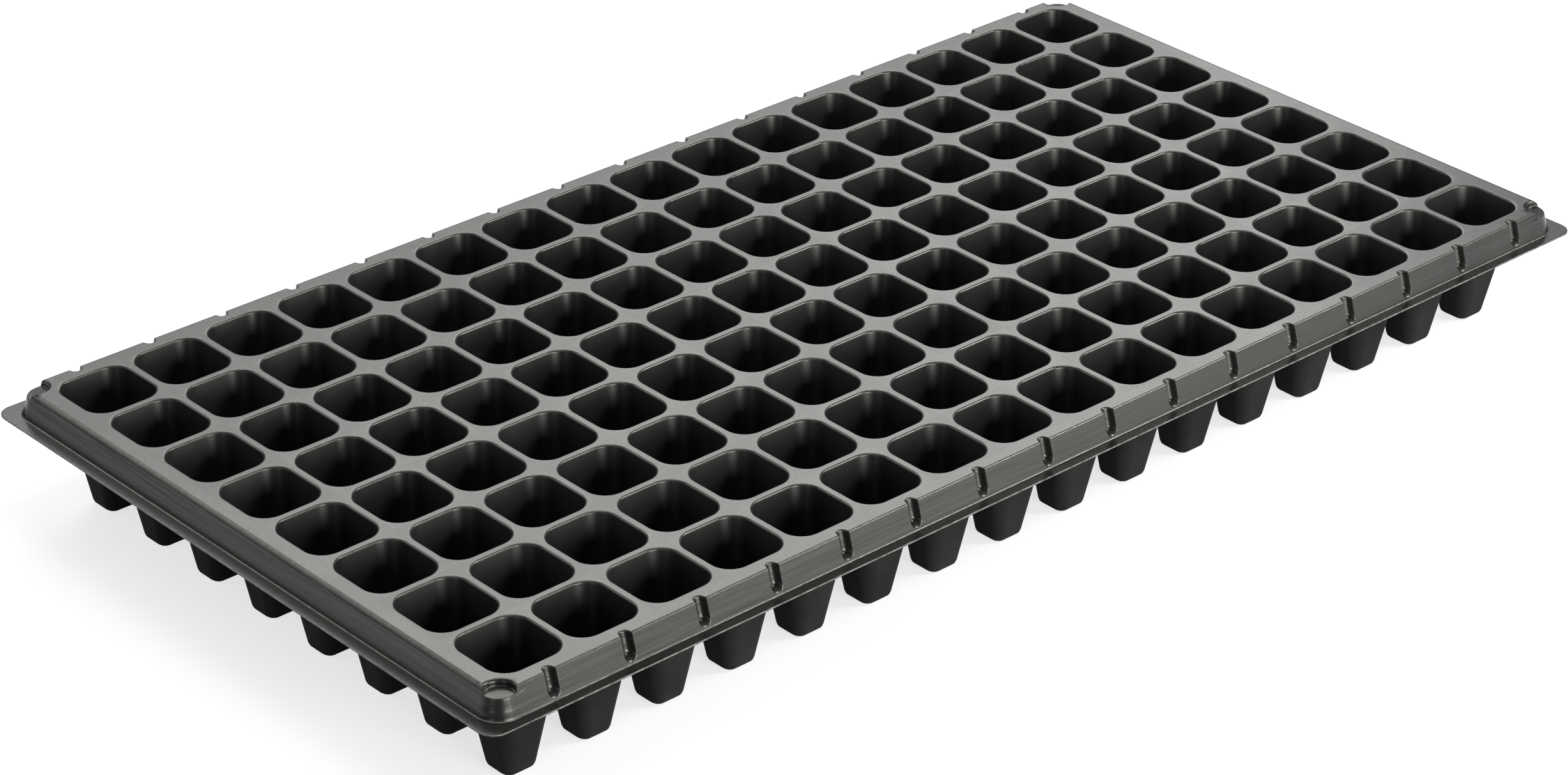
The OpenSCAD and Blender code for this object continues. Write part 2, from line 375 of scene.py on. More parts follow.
def cell_row_tree():
    """A node tree that sets toned cells along a line, with a first and a last cell of its own."""
    tree = bpy.data.node_groups.new("cell_row", "GeometryNodeTree")
    sockets = {name: add_socket(tree, name, kind).identifier for name, kind in [
        ("Plain cell", "NodeSocketObject"), ("First cell", "NodeSocketObject"),
        ("Last cell", "NodeSocketObject"), ("Count", "NodeSocketInt"),
        ("Start", "NodeSocketVector"), ("Step", "NodeSocketVector"),
        ("Seed", "NodeSocketInt"), ("Material", "NodeSocketMaterial")]}
    tree.interface.new_socket("Geometry", in_out="OUTPUT", socket_type="NodeSocketGeometry")

    def node(kind, inputs=None, **settings):
        made = tree.nodes.new(kind)
        for key, value in settings.items():
            setattr(made, key, value)
        for key, value in (inputs or {}).items():
            if isinstance(value, bpy.types.NodeSocket):
                tree.links.new(value, made.inputs[key])
            else:
                made.inputs[key].default_value = value
        return made.outputs

    def matches(value):
        return node("FunctionNodeCompare", {"A": index, "B": value},
                    data_type="INT", operation="EQUAL")["Result"]

    group = node("NodeGroupInput")
    line = node("GeometryNodeMeshLine", {
        "Count": group["Count"], "Start Location": group["Start"], "Offset": group["Step"]}, mode="OFFSET")
    index = node("GeometryNodeInputIndex")["Index"]
    is_first = matches(0)
    is_last = matches(node("ShaderNodeMath", {0: group["Count"], 1: 1}, operation="SUBTRACT")[0])
    is_end = node("FunctionNodeBooleanMath", {0: is_first, 1: is_last}, operation="OR")[0]
    is_plain = node("FunctionNodeBooleanMath", {0: is_end}, operation="NOT")[0]
    join = tree.nodes.new("GeometryNodeJoinGeometry")
    for cell, chosen in (("Plain cell", is_plain), ("First cell", is_first), ("Last cell", is_last)):
        info = node("GeometryNodeObjectInfo", {"Object": group[cell]})
        placed = node("GeometryNodeInstanceOnPoints", {
            "Points": line["Mesh"], "Selection": chosen, "Instance": info["Geometry"]})
        tree.links.new(placed["Instances"], join.inputs["Geometry"])
    tone = node("FunctionNodeRandomValue", {"Seed": group["Seed"]}, data_type="FLOAT")
    store = node("GeometryNodeStoreNamedAttribute", {
        "Geometry": join.outputs["Geometry"], "Name": "tone", "Value": tone[1]},
        data_type="FLOAT", domain="INSTANCE")
    realize = node("GeometryNodeRealizeInstances", {"Geometry": store["Geometry"]})
    paint = node("GeometryNodeSetMaterial", {
        "Geometry": realize["Geometry"], "Material": group["Material"]})
    node("NodeGroupOutput", {"Geometry": paint["Geometry"]})
    return tree, sockets


def run_tree(name, tree, sockets, values):
    """A plain mesh piece from a node tree and the values of its inputs."""
    piece = new_piece(name, bpy.data.meshes.new(name))
    modifier = piece.modifiers.new("build", "NODES")
    modifier.node_group = tree
    for socket, value in values.items():
        modifier[sockets[socket]] = value
    bpy.context.view_layer.update()
    made = bpy.data.meshes.new_from_object(piece.evaluated_get(bpy.context.evaluated_depsgraph_get()))
    piece.modifiers.remove(modifier)
    spare = piece.data
    piece.data = made
    bpy.data.meshes.remove(spare)
    made.name = name
    return piece


# Rim

FLAT_STEPS = 4
ROLL_STEPS = 6
UPPER_STEPS = 6
LOWER_STEPS = 15
BASE_STEPS = 4
EDGE_SHARE = 0.3
# Paler along the deck's rolled edge: wear and painted highlight.
ROLL_WEAR_AND_HIGHLIGHT = ([0, 0.4, 1], [0.0, 0.3, 0.0])
# Paler along the skirt's foot fillet: a painted highlight line.
BASE_PAINTED_HIGHLIGHT = ([0, 0.5, 1], [0.0, 1.0, 0.0])
EDGE_WEAR = [0.0, 0.2, 1.0, 1.0]


class Section:
    """The skirt and brim in section: distance out from the deck's edge and height, row by row."""

    def __init__(self, rim, run, roll, margin, brim_reach, offset):
        slope = math.degrees(math.atan2(run, rim.drop))
        half_turn = math.tan(math.radians(90 - slope) / 2)
        brim_z = DECK_Z - rim.drop
        self.scoop_z = DECK_Z - rim.scoop_depth - offset
        self.slope = slope
        self.margin = margin
        self.shift = offset / math.cos(math.radians(slope))
        self.run = run
        self.drop = rim.drop
        roll_rows = arc((-roll * half_turn, DECK_Z - roll), roll - offset, 90, slope, ROLL_STEPS)
        base_rows = arc((run + rim.base_r * half_turn, brim_z + rim.base_r), rim.base_r + offset,
                        180 + slope, 270, BASE_STEPS)
        upper = np.linspace(roll_rows[-1][1], self.scoop_z, UPPER_STEPS + 1)[1:]
        lower = np.linspace(self.scoop_z, base_rows[0][1], LOWER_STEPS + 1)[1:-1]
        brim_rows = [(base_rows[-1][0] + SUPPORT, brim_z - offset)]
        self.flat_end = roll_rows[0][0] - SUPPORT
        self.roll_rows = roll_rows
        self.upper_rows = [(self.wall(z), z) for z in upper]
        self.lower_rows = [(self.wall(z), z) for z in lower] + base_rows + brim_rows
        turn = -1 if offset else 1
        self.edge_rows = [(brim_reach - rim.edge_r - SUPPORT, brim_z - offset),
                          (brim_reach - rim.edge_r, brim_z - offset),
                          (brim_reach - EDGE_SHARE * rim.edge_r,
                           brim_z - offset - turn * EDGE_SHARE * rim.edge_r),
                          (brim_reach, brim_z - offset - turn * rim.edge_r)]
        self.brim_reach = brim_reach

    def wall(self, z):
        """How far out the skirt's face is at a height."""
        return self.run * (DECK_Z - z) / self.drop - self.shift

    def flat_rows(self, cut=0.0):
        """The deck's margin, ending short where a groove cuts into it."""
        deck_z = self.roll_rows[0][1]
        reach = self.flat_end - cut + self.margin
        return [(-self.margin + reach * k / FLAT_STEPS, deck_z) for k in range(FLAT_STEPS + 1)]

    def body_rows(self):
        """The rolled edge, the skirt, its base fillet and the start of the brim."""
        return self.roll_rows + self.upper_rows + self.lower_rows

    def rows(self):
        """All rows, from the cells to the cut edge."""
        return self.flat_rows() + self.body_rows() + self.edge_rows

    def wear_and_highlight(self):
        """How pale each row is made: wear and painted highlight on the rolled edge, painted highlight on the
        foot of the skirt, and wear on the cut edge.
        """
        roll = np.interp(np.linspace(0, 1, len(self.roll_rows)), *ROLL_WEAR_AND_HIGHLIGHT)
        base = np.interp(np.linspace(0, 1, BASE_STEPS + 1), *BASE_PAINTED_HIGHLIGHT)
        upper = [0.0] * len(self.upper_rows)
        lower = [0.0] * (LOWER_STEPS - 1) + list(base) + [0.0]
        return [0.0] * (FLAT_STEPS + 1) + list(roll) + upper + lower + EDGE_WEAR


def side_section(rim, offset):
    """The section of a long side, on its upper face or a sheet's thickness below it."""
    return Section(rim, rim.side_run, rim.side_roll, rim.deck_side - FIELD_Y,
                   TRAY_Y - rim.deck_side, offset)


def end_section(rim, offset):
    """The section of a short end, in the same way."""
    return Section(rim, rim.end_run, rim.end_roll, rim.deck_end - FIELD_X,
                   TRAY_X - rim.deck_end, offset)


ROUND_SHARE = 0.93
SHOULDER = 0.25 * MM
GROOVE_COLUMNS = [0.0, 0.3, 0.55, 0.74, 0.87, 0.95, 1.02, 1.09, 1.16, 1.3]
# Painted shade on a groove's walls, by distance from its middle line as a share of its half width.
GROOVE_WALL_SHADE = ([0.42, 0.6, 0.85, 0.97], [0.0, 0.9, 0.9, 0.0])
NO_GROOVE = 2.0


def groove_reach(rim, across, z):
    """Distance of a place on the skirt's face from a groove's middle line."""
    end_z = DECK_Z - rim.drop + rim.groove_foot + rim.groove_w / 2
    return math.hypot(across, max(end_z - z, 0.0))


def groove_depth(rim, across, z, offset):
    """Depth of a round-bottomed groove, with soft shoulders, at a place on the skirt's face."""
    half = rim.groove_w / 2 + offset
    away = groove_reach(rim, across, z) / half
    if away <= ROUND_SHARE:
        return (rim.groove_depth + offset) * math.sqrt(1 - away ** 2)
    width = 1 + SHOULDER / half - ROUND_SHARE
    t = min((away - ROUND_SHARE) / width, 1.0)
    top = math.sqrt(1 - ROUND_SHARE ** 2)
    fall = -ROUND_SHARE / top * width
    curve = top * (2 * t ** 3 - 3 * t ** 2 + 1) + fall * (t ** 3 - 2 * t ** 2 + t)
    return (rim.groove_depth + offset) * max(curve, 0.0)


def side_columns(rim):
    """Places along a long side: close together across each groove, wide apart between grooves."""
    across = [k * rim.groove_w / 2 for k in GROOVE_COLUMNS]
    across = sorted({-a for a in across} | set(across))
    places = [-SIDE_END, SIDE_END]
    for k in range(COLUMNS):
        middle = (k + 0.5) * PITCH - FIELD_X
        places += [middle + a for a in across]
    return sorted(places)


def from_groove(x):
    """Distance along a long side from the nearest groove's middle, or a pitch where there is none."""
    if abs(x) >= FIELD_X:
        return PITCH
    return x - ((math.floor((x + FIELD_X) / PITCH) + 0.5) * PITCH - FIELD_X)


def side_grid(rim, section, offset):
    """Points of one face of the long side at y above 0, rows by columns."""
    columns = []
    for x in side_columns(rim):
        across = from_groove(x)
        rows = section.flat_rows(groove_depth(rim, across, DECK_Z, offset))
        rows += [(u - groove_depth(rim, across, z, offset), z) for u, z in section.body_rows()]
        columns.append([(x, rim.deck_side + u, z) for u, z in rows + section.edge_rows])
    return np.array(columns).transpose(1, 0, 2)


def groove_shade(rim, section):
    """How much of the grooves' painted shade each point of the long side takes: their walls are darkened for
    the shade inside them.
    """
    columns = []
    for x in side_columns(rim):
        across = from_groove(x)
        away = [groove_reach(rim, across, z) / (rim.groove_w / 2) for _, z in section.body_rows()]
        columns.append([NO_GROOVE] * (FLAT_STEPS + 1) + away + [NO_GROOVE] * len(section.edge_rows))
    return np.interp(np.array(columns).T, *GROOVE_WALL_SHADE)


def end_grid(rim, section):
    """Points of one face of the short end at x above 0, rows by columns."""
    columns = [[(rim.deck_end + u, y, z) for u, z in section.rows()] for y in (END_END, -END_END)]
    return np.array(columns).transpose(1, 0, 2)


def straight_mesh(name, upper, lower, wear_and_highlight, mirror, groove=0.0):
    """A closed mesh from the two faces of a straight side."""
    shell = Shell()
    top = shell.grid(upper, wear_and_highlight, 0.0, groove)
    last = np.arange(len(lower)) == len(lower) - 1
    under = shell.grid(lower, np.where(last, 1.0, 0.0), np.where(last, 0.0, 1.0))
    shell.skin(top)
    shell.skin(under, flip=True)
    shell.strip(under[0], top[0])
    shell.strip(top[-1], under[-1])
    shell.strip(top[:, 0], under[:, 0])
    shell.strip(under[:, -1], top[:, -1])
    return shell.mesh(name, mirror)


# Border corners

CORNER_COLUMNS = 28
SCOOP_STEPS = 4
FILLET_ROOM = 2.5
LEAST_ROLL = 0.1 * MM
# Paler along the scoop's upper and outer edges: wear and painted highlight.
SCOOP_TOP_WEAR_AND_HIGHLIGHT = [0.3, 0.3]
SCOOP_FRONT_WEAR_AND_HIGHLIGHT = [0.1, 0.3, 0.3, 0.3, 0.1]
TINY = 1e-9
NEAR = 1e-6


def ray_to_brim(rim, start, way):
    """Where a ray from inside the corner meets the brim's rounded outline."""
    middle = np.array([TRAY_X - rim.brim_corner_r, TRAY_Y - rim.brim_corner_r])
    if way[1] > TINY:
        hit = start + way * ((TRAY_Y - start[1]) / way[1])
        if hit[0] <= middle[0]:
            return hit
    if way[0] > TINY:
        hit = start + way * ((TRAY_X - start[0]) / way[0])
        if hit[1] <= middle[1]:
            return hit
    back = start - middle
    along = back @ way
    return start + way * (-along + math.sqrt(along ** 2 - back @ back + rim.brim_corner_r ** 2))


class BorderCorner:
    """One face of the border's corner at x and y above 0: two straight stubs, and the scoop between."""

    def __init__(self, rim, offset):
        self.rim = rim
        self.offset = offset
        self.side = side_section(rim, offset)
        self.end = end_section(rim, offset)
        self.axis = np.array([rim.deck_end - rim.scoop_end, rim.deck_side - rim.scoop_side])
        self.wall_r = rim.scoop_r + offset
        self.floor_z = self.side.scoop_z
        self.turn = np.array([rim.deck_end - rim.corner_r, rim.deck_side - rim.corner_r])

    def scoop_radius(self, z):
        """The scoop's radius at a height: a small roll at the deck, then an upright wall."""
        roll = self.rim.scoop_roll - self.offset
        below = (DECK_Z - self.offset) - z
        if below >= roll:
            return self.wall_r
        return self.wall_r + roll - math.sqrt(max(roll ** 2 - (roll - below) ** 2, 0.0))

    def crease_x(self, u, z):
        """On the long side: where the scoop's wall meets the skirt's face."""
        across = self.rim.deck_side + u - self.axis[1]
        return self.axis[0] - math.sqrt(self.scoop_radius(z) ** 2 - across ** 2)

    def crease_y(self, u, z):
        """The same on the short end."""
        across = self.rim.deck_end + u - self.axis[0]
        return self.axis[1] - math.sqrt(self.scoop_radius(z) ** 2 - across ** 2)

    def stub(self, section, crease, place):
        """The straight stub: a column where the side ends, and one along the crease."""
        first, last = [], []
        foot_u, foot_z = section.upper_rows[-1]
        start = SIDE_END if section is self.side else END_END
        rows = section.rows()
        upper = len(rows) - len(section.lower_rows) - len(section.edge_rows)
        for k, (u, z) in enumerate(rows):
            first.append(place(start, u, z))
            along = crease(u, z) if k < upper else crease(foot_u, foot_z)
            last.append(place(along, u, z))
        return np.array([first, last]).transpose(1, 0, 2)

    def side_stub(self):
        """The stub that carries on the long side."""
        return self.stub(self.side, self.crease_x, lambda x, u, z: (x, self.rim.deck_side + u, z))

    def end_stub(self):
        """The stub that carries on the short end."""
        grid = self.stub(self.end, self.crease_y, lambda y, u, z: (self.rim.deck_end + u, y, z))
        return grid[:, ::-1]

    def angle(self, point):
        """A point's angle about the scoop's axis."""
        return math.atan2(point[1] - self.axis[1], point[0] - self.axis[0]) % (2 * math.pi)

    def arc_ends(self, k):
        """The scoop wall's angles at its two creases, and its heights there, for one row of the skirt."""
        rows = [(s.roll_rows + s.upper_rows)[k] for s in (self.side, self.end)]
        (u0, z0), (u1, z1) = rows
        first = self.angle((self.crease_x(u0, z0), self.rim.deck_side + u0))
        last = self.angle((self.rim.deck_end + u1, self.crease_y(u1, z1)))
        return first, last, z0, z1

    def shares(self):
        """Columns of the scoop as shares of its arc, with one at each row of the two deck margins."""
        first, last, _, _ = self.arc_ends(0)
        shares = set(np.linspace(0, 1, CORNER_COLUMNS + 1).round(6))
        shares |= {round(k, 6) for k in self.margin_shares(first, last)}
        return np.array(sorted(shares))

    def margin_shares(self, first, last):
        """Where the rows of the two deck margins meet the scoop, as shares of its arc."""
        side = [(self.crease_x(u, z), self.rim.deck_side + u) for u, z in self.side.flat_rows()]
        end = [(self.rim.deck_end + u, self.crease_y(u, z)) for u, z in self.end.flat_rows()]
        return [(self.angle(p) - first) / (last - first) for p in side + end]

    def path(self, share):
        """The deck's edge round the corner: a point, the way out and how far it has turned."""
        rim = self.rim
        u0, z0 = self.side.upper_rows[-1]
        u1, z1 = self.end.upper_rows[-1]
        run_in = self.turn[0] - self.crease_x(u0, z0)
        run_out = self.turn[1] - self.crease_y(u1, z1)
        bend = rim.corner_r * math.pi / 2
        along = share * (run_in + bend + run_out)
        if along <= run_in:
            return np.array([self.turn[0] - run_in + along, rim.deck_side]), np.array([0.0, 1.0]), 0.0
        if along >= run_in + bend:
            past = along - run_in - bend
            return np.array([rim.deck_end, self.turn[1] - past]), np.array([1.0, 0.0]), 1.0
        turned = (along - run_in) / bend
        angle = math.radians(90 - 90 * turned)
        way = np.array([math.cos(angle), math.sin(angle)])
        return self.turn + rim.corner_r * way, way, turned

    def scoop_grid(self):
        """Scoop wall, floor, outer edge, lower skirt and brim, rows by columns."""
        rim = self.rim
        columns = []
        ends = [self.arc_ends(k) for k in range(len(self.side.roll_rows + self.side.upper_rows))]
        side_rows, end_rows = np.array(self.side.lower_rows), np.array(self.end.lower_rows)
        for share in self.shares():
            edge, way, turned = self.path(share)
            blend = turned * turned * (3 - 2 * turned)
            foot_u = self.side.upper_rows[-1][0] * (1 - blend) + self.end.upper_rows[-1][0] * blend
            rim_point = edge + way * foot_u
            angles = [a + (b - a) * share for a, b, _, _ in ends]
            inner = np.array([math.cos(angles[-1]), math.sin(angles[-1])])
            room = np.linalg.norm(rim_point - (self.axis + inner * self.wall_r))
            ease = min(1.0, room / (FILLET_ROOM * (rim.scoop_fillet + self.offset)))
            fillet = (rim.scoop_fillet + self.offset) * ease
            roll = max(rim.scoop_fillet - self.offset, LEAST_ROLL) * ease
            column = []
            for (_, _, z0, z1), a in zip(ends, angles):
                z = max(z0 + (z1 - z0) * share, self.floor_z + fillet)
                r = self.scoop_radius(z)
                column.append((self.axis[0] + r * math.cos(a), self.axis[1] + r * math.sin(a), z))
            foot = arc((self.wall_r - fillet, self.floor_z + fillet), fillet, 0, -90, SCOOP_STEPS)
            for r, z in foot[1:]:
                column.append((*(self.axis + inner * r), z))
            slope = self.side.slope * (1 - blend) + self.end.slope * blend
            back = roll * math.tan(math.radians(90 - slope) / 2)
            for u, z in arc((foot_u - back, self.floor_z - roll), roll, 90, slope, SCOOP_STEPS):
                column.append((*(edge + way * u), z))
            lower = side_rows + (end_rows - side_rows) * blend
            column += [(*(edge + way * u), z) for u, z in lower]
            brim = ray_to_brim(rim, self.turn, way) if 0 < turned < 1 else edge + way * (
                self.side.brim_reach if turned == 0 else self.end.brim_reach)
            for u, z in self.side.edge_rows:
                column.append((*(brim + way * (u - self.side.brim_reach)), z))
            columns.append(column)
        return np.array(columns).transpose(1, 0, 2)

    def scoop_wear_and_highlight(self):
        """How pale each row of the scoop's grid is made, by wear and painted highlight."""
        rows = len(self.side.roll_rows + self.side.upper_rows)
        lower = self.side.wear_and_highlight()[-len(self.side.lower_rows) - len(self.side.edge_rows):]
        plain = [0.0] * (rows - len(SCOOP_TOP_WEAR_AND_HIGHLIGHT) + SCOOP_STEPS)
        return SCOOP_TOP_WEAR_AND_HIGHLIGHT + plain + SCOOP_FRONT_WEAR_AND_HIGHLIGHT + lower


def corner_mesh(name, mirror):
    """The border's corner as one closed mesh."""
    _, rim = form()
    upper, lower = BorderCorner(rim, 0.0), BorderCorner(rim, rim.sheet_t)
    shell = Shell()
    parts = []
    for face in (upper, lower):
        under = float(face is lower)
        parts.append([
            shell.grid(face.side_stub(), np.array(face.side.wear_and_highlight()) * (1 - under), under),
            shell.grid(face.scoop_grid(), np.array(face.scoop_wear_and_highlight()) * (1 - under), under),
            shell.grid(face.end_stub(), np.array(face.end.wear_and_highlight()) * (1 - under), under)])
    for top, under in zip(*parts):
        shell.skin(top)
        shell.skin(under, flip=True)
        shell.strip(top[-1], under[-1])
    (side_top, scoop_top, end_top), (side_under, scoop_under, end_under) = parts
    shell.strip(side_under[0], side_top[0])
    shell.strip(end_under[0], end_top[0])
    first, last, _, _ = upper.arc_ends(0)
    margins = upper.margin_shares(first, last)
    shares = upper.shares()
    open_to_cell = (shares > margins[0] - NEAR) & (shares < margins[FLAT_STEPS + 1] + NEAR)
    shell.strip(scoop_under[0][open_to_cell], scoop_top[0][open_to_cell])
    shell.strip(side_top[:, 0], side_under[:, 0])
    shell.strip(end_under[:, -1], end_top[:, -1])
    return shell.mesh(name, mirror)


# Materials

class Value:
    """A shader socket with arithmetic: each operation adds one Math node."""

    def __init__(self, shader, socket):
        self.shader = shader
        self.socket = socket

    def _math(self, operation, a, b):
        return self.shader.node("ShaderNodeMath", {"operation": operation}, {0: a, 1: b}).out(0)

    def __add__(self, other):
        return self._math("ADD", self, other)

    __radd__ = __add__

    def __mul__(self, other):
        return self._math("MULTIPLY", self, other)

    __rmul__ = __mul__


class Made:
    """A node that was just added, and its outputs as values."""

    def __init__(self, shader, node):
        self.shader = shader
        self.node = node

    def out(self, key):
        """One output as a value."""
        return Value(self.shader, self.node.outputs[key])


class Shader:
    """A material's node tree, written as expressions."""

    def __init__(self, name):
        self.material = bpy.data.materials.new(name)
        self.material.use_nodes = True
        self.tree = self.material.node_tree
        self.tree.nodes.clear()

    def node(self, kind, settings=None, inputs=None):
        """A node with its settings, then the values or links of its sockets."""
        made = self.tree.nodes.new(kind)
        for key, value in (settings or {}).items():
            setattr(made, key, value)
        for key, value in (inputs or {}).items():
            if isinstance(value, Value):
                self.tree.links.new(value.socket, made.inputs[key])
            else:
                made.inputs[key].default_value = value
        return Made(self, made)

    def attribute(self, name):
        """A mark of the mesh, from 0 to 1."""
        return self.node("ShaderNodeAttribute", {"attribute_name": name}).out("Fac")

    def noise(self, place, scale, detail, roughness):
        """Soft noise about 0.5."""
        made = self.node("ShaderNodeTexNoise", None, {
            "Vector": place, "Scale": scale, "Detail": detail, "Roughness": roughness})
        return made.out("Fac")

    def stretch(self, place, factors):
        """Coordinates scaled along each axis."""
        return self.node("ShaderNodeMapping", None, {"Vector": place, "Scale": factors}).out("Vector")

    def ramp(self, value, low, high, to_low=0.0, to_high=1.0):
        """A smooth step from one level to another."""
        made = self.node("ShaderNodeMapRange", {"interpolation_type": "SMOOTHSTEP"}, {
            "Value": value, "From Min": low, "From Max": high, "To Min": to_low, "To Max": to_high})
        return made.out("Result")

    def mix(self, factor, a, b):
        """A mix of two colours."""
        a, b = (value if isinstance(value, Value) else (*value, 1.0) for value in (a, b))
        return self.node("ShaderNodeMix", {"data_type": "RGBA"}, {"Factor": factor, 6: a, 7: b}).out(2)

    def blend(self, factor, a, b):
        """A mix of two surfaces."""
        return self.node("ShaderNodeMixShader", None, {0: factor, 1: a, 2: b}).out(0)

    def finish(self, surface):
        """The material with that surface."""
        self.node("ShaderNodeOutputMaterial", None, {"Surface": surface})
        return self.material


GRAIN_SCALE = 2600.0
CLOUD_SCALE = 38.0
CLOUD_BAND = (0.3, 0.8)
RUB_SCALE = 420.0
RUB_BAND = (0.2, 0.7)
PALER = 1.3
DARKER = 0.8
BUMP_HEIGHT = 0.2 * MM
SHEET_IOR = 1.55
SHEEN_TINT = (1.0, 0.99, 0.93, 1.0)

# Drawn lines of the flat sheet and of the cups, as noise scales along each axis
FLAT_LINES = (18.0, 18.0, 350.0)
CUP_LINES = (220.0, 220.0, 12.0)

# Finishes: drawn lines, specular level, least roughness and strength of the relief
DECK_FINISH = (FLAT_LINES, 0.5, 0.16, 0.45)
CUP_FINISH = (CUP_LINES, 0.32, 0.2, 0.03)
# The grooves' walls: dark as painted shade.
GROOVE_SHADE_FINISH = (CUP_LINES, 0.08, 0.4, 0.03)
UNDER_FINISH = (CUP_LINES, 0.01, 0.5, 0.05)
CUP_FADE = 0.8 * MM


def sheet_surface(s, place, base, lines, gloss, satin, relief):
    """The formed sheet in one finish: colour clouds, mould grain and drawn lines on a satin black."""
    finish = bpy.context.scene.seed_tray_finish
    grain = s.noise(place, GRAIN_SCALE, 2.0, 0.6)
    cloud = s.noise(place, CLOUD_SCALE, 3.0, 0.55)
    drawn = s.noise(s.stretch(place, lines), 1.0, 3.0, 0.55)
    tone = s.attribute("tone")
    # Paler where the wear mark is set: wear on cut edges, painted highlight on lips, rolled edges, the
    # skirt's foot and scoop edges.
    rubbed_and_highlight = s.attribute("wear_and_highlight") * s.ramp(s.noise(place, RUB_SCALE, 3.0, 0.6), *RUB_BAND)
    pale = tuple(c * PALER for c in base)
    dark = tuple(c * DARKER for c in base)
    body = s.mix(s.ramp(cloud + 0.12 * tone, *CLOUD_BAND), dark, pale)
    body = s.mix(rubbed_and_highlight, body, finish.worn_and_highlight_colour)
    rough = satin + 0.1 * cloud + 0.05 * grain + 0.03 * tone + 0.08 * drawn
    bump = s.node("ShaderNodeBump", None, {
        "Strength": relief, "Distance": BUMP_HEIGHT, "Height": grain * 0.3 + drawn * 1.8})
    return s.node("ShaderNodeBsdfPrincipled", None, {
        "Base Color": body, "Roughness": rough, "IOR": SHEET_IOR, "Specular IOR Level": gloss,
        "Specular Tint": SHEEN_TINT, "Normal": bump.out("Normal")}).out("BSDF")


def formed_plastic(name, cup_top=None):
    """The formed sheet, dull below. Under cup_top it is that of the cups, and without it has grooves whose
    walls are darkened as painted shade.
    """
    finish = bpy.context.scene.seed_tray_finish
    s = Shader(name)
    place = s.node("ShaderNodeTexCoord").out("Object")
    surface = sheet_surface(s, place, finish.sheet_colour, *DECK_FINISH)
    if cup_top:
        height = s.node("ShaderNodeSeparateXYZ", None, {0: place}).out("Z")
        # The cups' black, slightly darker: painted shade.
        cup = sheet_surface(s, place, finish.cup_colour_and_shade, *CUP_FINISH)
        surface = s.blend(s.ramp(height, cup_top - CUP_FADE, cup_top, 1.0, 0.0), surface, cup)
    else:
        # Painted shade on the grooves' walls.
        wall = sheet_surface(s, place, finish.groove_colour, *GROOVE_SHADE_FINISH)
        surface = s.blend(s.attribute("groove"), surface, wall)
    dull = sheet_surface(s, place, finish.under_colour, *UNDER_FINISH)
    return s.finish(s.blend(s.attribute("under"), surface, dull))


# Operators

class SEEDTRAY_OT_cell_rows(bpy.types.Operator):
    """Make the sixteen rows of cells with their deck squares"""
    bl_idname = "seedtray.cell_rows"
    bl_label = "Cell rows"

    def execute(self, context):
        cell, rim = form()
        finish = context.scene.seed_tray_finish
        material = formed_plastic("tray_cell_plastic", DECK_Z - cell.lip_r / 2)
        plain = new_piece("cell_plain", cell_mesh("cell_plain"))
        corners = {}
        for k, way in enumerate([(-1, -1), (-1, 1), (1, -1), (1, 1)]):
            mesh = cell_mesh(f"cell_bite_{k}", scoop_bite(rim, *way))
            corners[way] = new_piece(f"cell_bite_{k}", mesh)
        for source in (plain, *corners.values()):
            source.data.materials.append(material)
        tree, sockets = cell_row_tree()
        for i in range(1, COLUMNS + 1):
            side = {1: -1, COLUMNS: 1}.get(i)
            piece = run_tree(f"row_{i:02d}_cells", tree, sockets, {
                "Plain cell": plain,
                "First cell": corners.get((side, -1), plain),
                "Last cell": corners.get((side, 1), plain),
                "Count": ROWS,
                "Start": ((i - 0.5) * PITCH - FIELD_X, PITCH / 2 - FIELD_Y, 0.0),
                "Step": (0.0, PITCH, 0.0),
                "Seed": finish.tone_seed + i,
                "Material": material})
            finish_mesh(piece.data)
            dress(piece, None, "cell_sheet", f"cell_row_{i:02d}")
        for spare in (plain, *corners.values()):
            bpy.data.meshes.remove(spare.data)
        return {"FINISHED"}


def rim_material():
    """The rim's plastic, made when it is first asked for."""
    return bpy.data.materials.get("tray_rim_plastic") or formed_plastic("tray_rim_plastic")


def add_side(name, upper, lower, wear_and_highlight, mirror, groove=0.0):
    """Makes and dresses one straight side with its brim."""
    mesh = straight_mesh(f"rim_{name}", upper, lower, wear_and_highlight, mirror, groove)
    dress(new_piece(f"rim_{name}", mesh), rim_material(), "rim_sheet", f"skirt_{name}", f"brim_{name}")


class SEEDTRAY_OT_long_sides(bpy.types.Operator):
    """Make the two long sides with their grooves and brim"""
    bl_idname = "seedtray.long_sides"
    bl_label = "Long sides"

    def execute(self, context):
        _, rim = form()
        sections = [side_section(rim, offset) for offset in (0.0, rim.sheet_t)]
        upper, lower = (side_grid(rim, s, o) for s, o in zip(sections, (0.0, rim.sheet_t)))
        # Painted shade on the grooves' walls.
        groove = groove_shade(rim, sections[0])
        for name, mirror in (("back", (1, 1)), ("front", (1, -1))):
            add_side(name, upper, lower, sections[0].wear_and_highlight(), mirror, groove)
        return {"FINISHED"}


class SEEDTRAY_OT_short_ends(bpy.types.Operator):
    """Make the two plain short ends with their brim"""
    bl_idname = "seedtray.short_ends"
    bl_label = "Short ends"

    def execute(self, context):
        _, rim = form()
        sections = [end_section(rim, offset) for offset in (0.0, rim.sheet_t)]
        upper, lower = (end_grid(rim, s) for s in sections)
        for name, mirror in (("right", (1, 1)), ("left", (-1, 1))):
            add_side(name, upper, lower, sections[0].wear_and_highlight(), mirror)
        return {"FINISHED"}


